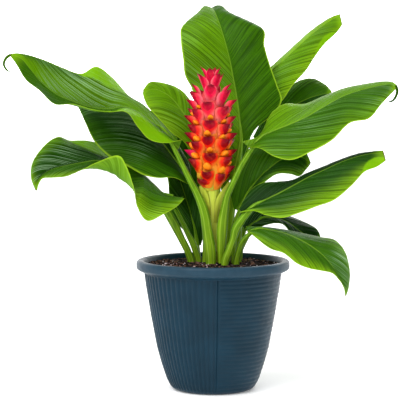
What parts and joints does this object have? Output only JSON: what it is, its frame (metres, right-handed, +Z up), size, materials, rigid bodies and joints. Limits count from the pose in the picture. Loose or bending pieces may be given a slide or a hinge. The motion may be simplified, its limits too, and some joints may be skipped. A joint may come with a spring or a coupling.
{
  "type": "potted cone ginger plant",
  "caption": "Cone ginger in a round ribbed planter: a red flower cone on an upright stalk among long arching leaves.",
  "frame": {"origin": "centre of the pot's underside, at the level the pot stands on", "axes": "+Z up along the pot's axis, -Y towards the pictured side, +X to the right as seen from there"},
  "size_m": [0.54, 0.4371, 0.545],
  "materials": {
    "pot": "satin",
    "soil": "matte",
    "leaf": "satin",
    "stalk": "satin",
    "cone": "satin"
  },
  "bodies": {
    "root": {"pot": "pot", "soil": "soil", "flower_stalk": "stalk", "flower_cone": "cone", "leaf_top_centre": "leaf", "leaf_top_right": "leaf", "leaf_right_behind": "leaf", "leaf_right_high": "leaf", "leaf_right_inner": "leaf", "leaf_right_middle": "leaf", "leaf_right_low": "leaf", "leaf_right_under": "leaf", "leaf_left_high": "leaf", "leaf_left_inner": "leaf", "leaf_left_middle": "leaf", "leaf_left_low": "leaf", "leaf_left_small": "leaf", "leaf_left_behind": "leaf", "leaf_back_left": "leaf", "leaf_back_centre": "leaf", "leaf_back_right": "leaf"}
  },
  "joints": []
}
